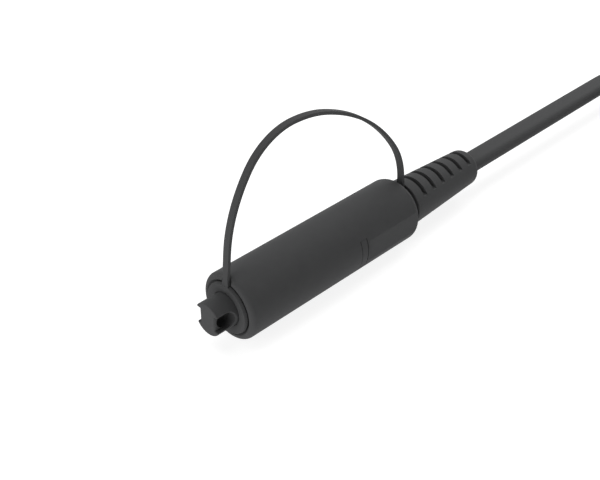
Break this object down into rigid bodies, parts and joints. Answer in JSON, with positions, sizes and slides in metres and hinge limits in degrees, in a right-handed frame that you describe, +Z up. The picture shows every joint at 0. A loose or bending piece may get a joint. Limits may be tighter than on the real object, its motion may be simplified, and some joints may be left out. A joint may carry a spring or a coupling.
{
  "type": "hardened fibre connector",
  "caption": "Sealed outdoor fibre-optic plug with a rotating coupling sleeve, screw-in dust cap with pulling eye on a strap tether, slotted boot and flat drop cable.",
  "frame": {"origin": "centre of the coupling sleeve's mouth, on the connector's axis in the plane of the front lip", "axes": "+X along the connector from the mouth to the cable, +Z up towards the tether, +Y to the left when looking along +X"},
  "size_m": [0.3013, 0.1231, 0.0582],
  "materials": {
    "sleeve_shell": "fine satin, moulded charcoal black",
    "cap_shell": "fine satin, moulded charcoal black",
    "boot_rubber": "soft matt black",
    "tether_rubber": "soft matt black",
    "cable_jacket": "extruded satin black",
    "tie_plastic": "satin black",
    "seal_rubber": "moulded black rubber",
    "housing_plastic": "satin black, glass filled",
    "frame_plastic": "glossy green",
    "ceramic": "polished white ceramic",
    "steel": "bright turned metal",
    "crimp_plastic": "satin dark grey",
    "band_metal": "plain drawn metal",
    "rod_resin": "glass fibre rod in clear resin",
    "fibre_coat": "translucent white buffer tube"
  },
  "bodies": {
    "plug": {"plug_housing": "housing_plastic", "plug_frame": "frame_plastic", "spring_stop": "crimp_plastic", "ferrule_spring": "steel", "front_o_ring": "seal_rubber", "rear_o_ring": "seal_rubber", "thrust_washer": "steel", "strain_relief_boot": "boot_rubber", "crimp_body_upper": "crimp_plastic", "crimp_body_lower": "crimp_plastic", "crimp_band": "band_metal", "strength_rods": "rod_resin", "fibre_tube": "fibre_coat", "cable_inner": "cable_jacket", "cable_run": "cable_jacket", "cable_coil": "cable_jacket", "coil_ties": "tie_plastic"},
    "sleeve": {"coupling_sleeve": "sleeve_shell", "sleeve_retainer": "cap_shell"},
    "tether": {"tether": "tether_rubber"},
    "cap": {"dust_cap": "cap_shell", "cap_o_ring": "seal_rubber"},
    "ferrule": {"ferrule": "ceramic", "ferrule_flange": "steel"}
  },
  "joints": [
    {"name": "sleeve_spin", "type": "hinge", "parent": "plug", "child": "sleeve", "pos_m": [0, 0, 0], "axis": [1, 0, 0], "continuous": true},
    {"name": "cap_slide", "type": "slide", "parent": "sleeve", "child": "tether", "axis": [-1, 0, 0], "range_m": [0, 0.009], "deforming": ["tether"]},
    {"name": "cap_twist", "type": "hinge", "parent": "tether", "child": "cap", "pos_m": [0, 0, 0], "axis": [-1, 0, 0], "range_deg": [0, 540]},
    {"name": "ferrule_float", "type": "slide", "parent": "plug", "child": "ferrule", "axis": [1, 0, 0], "range_m": [0, 0.0015], "stiffness_N_per_m": 1500, "deforming": ["ferrule_spring"]}
  ],
  "couplings": [
    {"joint": "cap_twist", "follows": "cap_slide", "rad_per_m": 1047.2}
  ]
}
